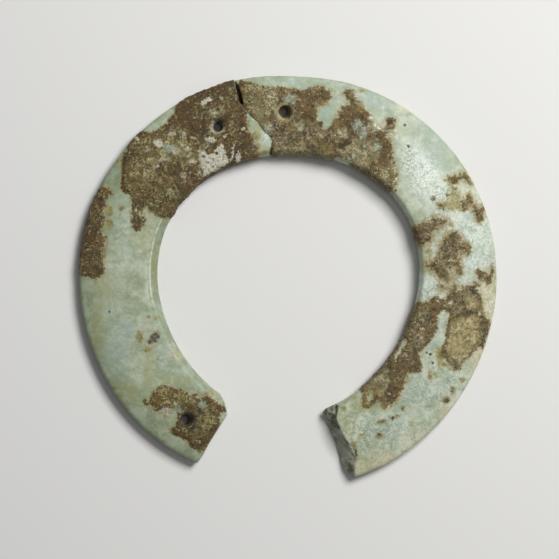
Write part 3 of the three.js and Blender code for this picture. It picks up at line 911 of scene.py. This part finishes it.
def network(size, warp):
    """How far it is to the borders of uneven cells size mm across, as a share of size."""
    scale = 1 / (size * MM)
    wobble = make(tree, "TexNoise", {"Vector": place, "Scale": scale, "Detail": 3}, "Color")
    moved = {0: wobble, 1: (warp * MM,) * 3, 2: place}
    inputs = {"Vector": make(tree, "VectorMath", moved, operation="MULTIPLY_ADD"), "Scale": scale}
    return make(tree, "TexVoronoi", inputs, "Distance", feature="DISTANCE_TO_EDGE")


def jade_colour():
    """Pale green stone with soft clouds, deeper veins and weathered zones, and painted sheen, highlights and
    shade.
    """
    clouds = grain(6, 5, 0.6, 0.5)
    drifts = grain(3.6, 5, 0.58, 0.6)
    mottle = grain(0.9, 4, 0.65)
    wander = (grain(4.5, 5, 0.6, 1.2) - 0.5).math("ABSOLUTE")
    veins = wander.eased(0.022, 0.004) * grain(3).eased(0.42, 0.6)
    clouded = grain(1.5, 6, 0.70).ramp((0.36, 138, 152, 132), (0.50, 166, 178, 159), (0.62, 202, 208, 190))
    cloudy = field("cloud") * grain(1.4, 5, 0.65).eased(0.32, 0.56)
    bluish = field("blue") * grain(1.8, 4, 0.6).eased(0.35, 0.6)
    chalky = grain(0.7, 6, 0.72).ramp((0.36, 148, 162, 152), (0.50, 190, 200, 188), (0.62, 216, 222, 212))
    uneven = grain(2.2, 5, 0.65).eased(0.28, 0.50)
    creamy = grain(0.8, 5, 0.7).ramp((0.36, 168, 157, 116), (0.52, 209, 197, 164))
    warm = field("cream") * grain(1.6, 5, 0.65).eased(0.32, 0.54)
    yellow = field("yellow") * grain(2, 4, 0.6).eased(0.3, 0.56)
    speck = grain(0.42, 3, 0.7)
    flecked = field("fleck") * grain(2.4, 4, 0.6).eased(0.34, 0.54)
    streaks = grain(1.5, 5, 0.65, 1.2)
    shift = (grain(1.1, 5, 0.65) - 0.5) * 3.4
    filmy = speck.ramp((0.38, 112, 98, 62), (0.50, 144, 132, 96), (0.62, 178, 170, 138))
    mossy = speck.ramp((0.38, 104, 94, 44), (0.50, 138, 132, 74), (0.62, 174, 172, 120))
    # Painted highlight: bright flecks on the sheen
    painted_glints = field("painted_glint") * grain(0.5, 3, 0.62).eased(0.47, 0.57)
    mottled = grain(0.45, 3, 0.6).ramp((0.42, 116, 100, 74), (0.53, 190, 178, 160))
    # Painted highlight along the crisp edge, broken up by noise
    arris_highlight = field("arris_highlight") * grain(1.1, 4, 0.65).eased(0.36, 0.54)
    colour = clouds.ramp((0.34, 140, 152, 120), (0.50, 158, 168, 139), (0.64, 180, 187, 163))
    return colour.under(
        (drifts.eased(0.50, 0.61) * 0.60, (190, 198, 178)),
        (drifts.eased(0.49, 0.38) * 0.60, (130, 145, 113)),
        (mottle.eased(0.5, 0.66) * 0.4, (186, 191, 169)),
        (mottle.eased(0.48, 0.35) * 0.4, (128, 141, 110)),
        (veins * 0.4, (148, 148, 98)),
        (cloudy * 0.75, clouded),
        (bluish * 0.7, (146, 165, 154)),
        (field("chalk") * uneven * 0.9, chalky),
        (warm * 0.75, creamy),
        (yellow * 0.65, (158, 157, 104)),
        (field("fleck") * drifts.eased(0.50, 0.60) * 0.45, (208, 214, 198)),
        (field("fleck") * drifts.eased(0.49, 0.40) * 0.40, (136, 150, 128)),
        (flecked * streaks.eased(0.52, 0.60) * 0.5, (206, 212, 194)),
        (flecked * streaks.eased(0.47, 0.39) * 0.5, (132, 146, 120)),
        (speck.eased(0.53, 0.62) * (flecked * 0.58 + 0.08), (212, 218, 202)),
        (speck.eased(0.45, 0.34) * (flecked * 0.55 + 0.08), (120, 130, 108)),
        ((field("film") + shift).eased(-0.3, 0.9) * 0.75, filmy),
        ((field("olive") + shift).eased(-0.4, 0.6) * 0.8, mossy),
        (painted_glints * 0.72, (230, 238, 226)),
        ((field("bloom") + shift).eased(-0.4, 0.6) * 0.8, mottled),
        # Painted shade over the left rim and bevel
        (field("painted_shade"), (214, 219, 211), "MULTIPLY"),
        (arris_highlight * 0.8, (222, 224, 206)),
    )


def crust_colour():
    """Brown burial crust made of dark, tan and nearly white grains, with shade painted in its crevices and
    pits.
    """
    dark, pale, grey = [field(name).eased(-0.6, 0.8) for name in ("dark", "pale", "grey")]
    umber = field("umber")
    shade = grain(3.0, 4, 0.6) * (umber * -0.12 + 0.46) + umber * 0.06
    shade = shade + grain(1.3, 4, 0.62) * 0.38 + grain(0.5, 3, 0.65) * 0.28
    shade = shade + pale * 0.105 - dark * 0.03 - 0.064
    colour = shade.ramp(
        (0.41, 43, 32, 9), (0.455, 61, 49, 18), (0.50, 79, 67, 30), (0.545, 98, 86, 47), (0.60, 121, 110, 70)
    )
    ruddy = umber * 0.5 + 0.5
    rust = grain(4.2, 4, 0.6).eased(0.48, 0.58) * ruddy * 0.5
    mauve = grain(2.6, 4, 0.62).eased(0.49, 0.57) * (grey * 0.45 + 0.30)
    orange = grain(1.9, 4, 0.62).eased(0.53, 0.60) * ruddy * 0.42
    mossy = grain(3.2, 4, 0.62).eased(0.50, 0.58) * 0.28
    rich = dark * grain(1.4, 4, 0.6).eased(0.34, 0.56) * 0.55
    margin = field("crust").eased(0.9, 0.0) * 0.5
    warm = grain(4.0, 4, 0.6).eased(0.42, 0.60) * (pale * -0.7 + 1.0)

    # Pale grains lie in clusters, with a few strays between them
    cluster = grain(2.4, 4, 0.62).eased(0.47, 0.58)
    share = (pale * 0.46 + grey * 0.18 + 0.37 - dark * 0.30) * (cluster * 0.82 + 0.18)
    grains = grain(0.6, 4, 0.62).eased(0.50, 0.57) * share
    dusty = grain(1.1, 4, 0.65).eased(0.51, 0.59) * (grey * 0.60 + 0.12)
    seams = network(0.9, 1.0).eased(0.10, 0.02) * grain(0.8, 3).eased(0.42, 0.56) * share * 0.6
    sparkle = grain(0.36, 2, 0.6).eased(0.57, 0.64) * share
    lumps = grain(0.75).eased(0.62, 0.67)
    # Painted shade: near-black crevices between the grains, and pits among them
    crevice_shade = network(1.7, 1.6).eased(0.05, 0.01) * grain(1.6, 3).eased(0.46, 0.58)
    holes = (umber * -0.025 + grain(0.6, 2, 0.6)).eased(0.41, 0.34) * (pale * -0.5 + 0.9)
    return colour.under(
        (rust, (96, 72, 30)),
        (mauve, (98, 86, 64)),
        (orange, (124, 92, 44)),
        (mossy, (96, 92, 50)),
        (rich, (88, 67, 32)),
        (margin, (100, 78, 34)),
        (pale, (246, 253, 252), "MULTIPLY"),
        (warm, (255, 240, 196), "MULTIPLY"),
        (umber, (214, 203, 172), "MULTIPLY"),
        (grains, (157, 148, 112)),
        (dusty, (130, 122, 92)),
        (seams, (178, 169, 135)),
        (sparkle, (200, 193, 163)),
        (lumps * 0.6, (176, 167, 134)),
        # Painted shade in crevices and pits
        (crevice_shade * 0.85, (34, 25, 8)),
        (holes, (32, 22, 5)),
        (umber, (249, 247, 221), "MULTIPLY"),
    )


def paint_stone():
    """Fills in the stone's material. Edges are roughened here too, most where the crust crumbles."""
    crumble = field("crumble")
    fine = grain(0.55, 4, 0.7) - 0.5
    shift = fine * 1.4
    crust_edge = (grain(0.9, 3, 0.55) - 0.5) * crumble * 3.4 + (fine * 2.0 + field("crust"))
    softness = crumble * 0.24 + 0.2
    crusted = crust_edge.eased(softness * -1.0, softness)
    halo = crust_edge.eased(crumble * -0.9 - 0.7, 0.1)

    def marked(name, low, high):
        """How much a cover with a roughened edge shows."""
        return (field(name) + shift).eased(low, high)

    ochre = marked("ochre", -0.35, 0.4)
    brown = marked("brown", -0.2, 0.3)
    green = (field("green") + (grain(0.7, 4, 0.65) - 0.5) * 2.4).eased(-0.3, 0.35)
    broken = field("broken").eased(0.2, 0.8)

    colour = jade_colour()
    patchy = grain(1.0, 4, 0.65)
    rusty = patchy.ramp((0.36, 96, 82, 34), (0.50, 124, 112, 52), (0.64, 154, 146, 92))
    stain = halo * patchy.eased(0.32, 0.54)
    crust = crust_colour()
    tan = grain(1.1, 6, 0.78, 0.8).ramp((0.38, 104, 92, 56), (0.48, 144, 133, 90), (0.58, 192, 180, 138))
    tan = tan.under((grain(2.4, 4, 0.6).eased(0.48, 0.60) * 0.35, (140, 124, 74)))
    pale = grain(0.6, 4, 0.65).ramp((0.36, 110, 104, 76), (0.48, 156, 151, 122), (0.62, 190, 185, 160))
    granules = grain(0.8, 4, 0.65)
    light = (field("light") + (granules - 0.5) * 3.2).eased(-0.3, 0.3)
    chalk = grain(0.5, 3, 0.6).ramp((0.34, 96, 90, 68), (0.42, 166, 163, 142), (0.60, 200, 197, 180))
    jade = grain(0.7, 4, 0.65).ramp((0.38, 122, 130, 108), (0.58, 170, 180, 162))
    golden = granules.ramp((0.36, 86, 68, 28), (0.50, 132, 114, 58), (0.62, 176, 160, 106))
    crust = crust.under(
        (marked("tan", -0.5, 0.6) * 0.9, tan),
        (light * 0.72, pale),
        (marked("grains", -0.12, 0.12) * 0.85, (190, 181, 153)),
        (marked("white", -0.15, 0.2), chalk),
        (green * 0.7, jade),
        (ochre * crumble * 0.6, golden),
    )
    rubble = grain(1.6, 5, 0.62, 0.5).ramp((0.36, 96, 98, 78), (0.5, 140, 143, 122), (0.64, 180, 183, 164))
    soil_and_shade = grain(0.9, 5, 0.65).ramp((0.36, 40, 31, 17), (0.5, 74, 61, 38), (0.64, 118, 104, 72))
    rubble = rubble.under(
        # Painted light on the facets that face the lamp
        (marked("lit_facet", -0.2, 0.3) * 0.5, (150, 153, 134)),
        # Soil in the crack, partly painted shade
        (field("soil_and_shade") * grain(3.0, 4, 0.6).eased(0.30, 0.48), soil_and_shade),
        # Painted shade on the broken end
        (marked("end_shade", -0.2, 0.3) * 0.75, (52, 44, 28)),
    )
    colour = colour.under(
        (stain * 0.8, (148, 136, 84)),
        (ochre * 0.88, rusty),
        (crusted, crust),
        # Brown spots, and in the holes' mouths brown that is partly painted shade
        (brown * 0.9, (48, 35, 11)),
        (broken, rubble),
        (field("pit").eased(-0.12, 0.1) * 0.9, (50, 42, 26)),
        # Painted shade inside the lashing holes
        (field("bore_shade"), (46, 36, 22)),
    )

    rough = crusted.math("MAXIMUM", broken).math("MAXIMUM", brown * 0.8)
    roughness = (rough * 0.8).math("MAXIMUM", field("matte") * 0.33 + 0.24)
    texture = grain(0.3, 3, 0.6) * (rough * 0.85 + (field("chalk") * 0.16 + 0.10))
    bump = {"Height": texture, "Distance": BUMP_DEPTH * MM, "Strength": 0.8}
    shader = {
        "Base Color": colour, "Roughness": roughness, "Normal": make(tree, "Bump", bump),
        "Subsurface Weight": 0.10, "Subsurface Radius": (0.9, 1.0, 0.7), "Subsurface Scale": GLOW_DEPTH * MM,
    }
    feed(tree.nodes["Principled BSDF"], shader)


# The camera looks straight down from far off, with a long lens, at the middle of the photograph
LENS = 150.0
SENSOR = 36.0
VIEW_HEIGHT = 2.5


def add_camera():
    camera = bpy.data.cameras.new("camera")
    camera.lens = LENS
    camera.sensor_width = SENSOR
    distance = PHOTO_SIDE_PX * PIXEL * LENS / SENSOR
    across, up = (PHOTO_SIDE_PX / 2 - ORIGIN_PX) * [PIXEL, -PIXEL]
    viewer = placed("camera", camera)
    viewer.location = Vector((across, up, VIEW_HEIGHT + distance)) * MM
    camera.clip_start = distance * MM / 10
    camera.clip_end = distance * MM * 10
    bpy.context.scene.camera = viewer


def add_lamp(name, azimuth, elevation, distance, size, power):
    """A square soft lamp that looks at the origin. Azimuth runs anticlockwise from +X."""
    lamp = bpy.data.lights.new(name, "AREA")
    lamp.size = size
    lamp.energy = power
    holder = placed(name, lamp)
    turn, rise = math.radians(azimuth), math.radians(elevation)
    towards = Vector((math.cos(turn) * math.cos(rise), math.sin(turn) * math.cos(rise), math.sin(rise)))
    holder.location = towards * distance
    holder.rotation_euler = towards.to_track_quat("Z", "Y").to_euler()


def add_world():
    """Weak even light, and a pale background for whatever looks past the floor."""
    world = bpy.data.worlds.new("studio")
    bpy.context.scene.world = world
    world.use_nodes = True
    sky = world.node_tree
    light = sky.nodes["Background"]
    feed(light, {"Color": (0.96, 0.98, 1.0, 1), "Strength": 0.15})
    shown = make(sky, "Background", {"Color": tone(236, 236, 234)})
    rays = sky.nodes.new("ShaderNodeLightPath").outputs
    seen = Value(rays["Is Camera Ray"])
    for ray in ("Is Glossy Ray", "Is Transmission Ray"):
        seen = seen.math("MAXIMUM", Value(rays[ray]))
    choice = make(sky, "MixShader", {"Fac": seen, 1: Value(light.outputs[0]), 2: shown})
    feed(sky.nodes["World Output"], {"Surface": choice})


FLOOR_SIDE = 3000.0
FLOOR_DROP = 0.03


def add_floor():
    """A plain pale table top just under the stone."""
    half = FLOOR_SIDE * MM / 2
    level = -FLOOR_DROP * MM
    mesh = bpy.data.meshes.new("floor")
    corners = [(-half, -half, level), (half, -half, level), (half, half, level), (-half, half, level)]
    mesh.from_pydata(corners, [], [(0, 1, 2, 3)])
    floor = placed("floor", mesh)
    material = bpy.data.materials.new("floor")
    material.use_nodes = True
    shader = material.node_tree.nodes["Principled BSDF"]
    feed(shader, {"Base Color": tone(226, 225, 222), "Roughness": 0.9})
    mesh.materials.append(material)


add_camera()
add_lamp("key", azimuth=44, elevation=51, distance=0.7, size=0.28, power=5.0)
add_lamp("top", azimuth=37, elevation=79, distance=0.7, size=0.10, power=0.16)
add_world()
add_floor()
paint_stone()
stone_piece("left_fragment", "left", LEFT_CRUST, stone)
stone_piece("right_fragment", "right", RIGHT_CRUST, stone)
bpy.context.scene.view_settings.view_transform = "Standard"
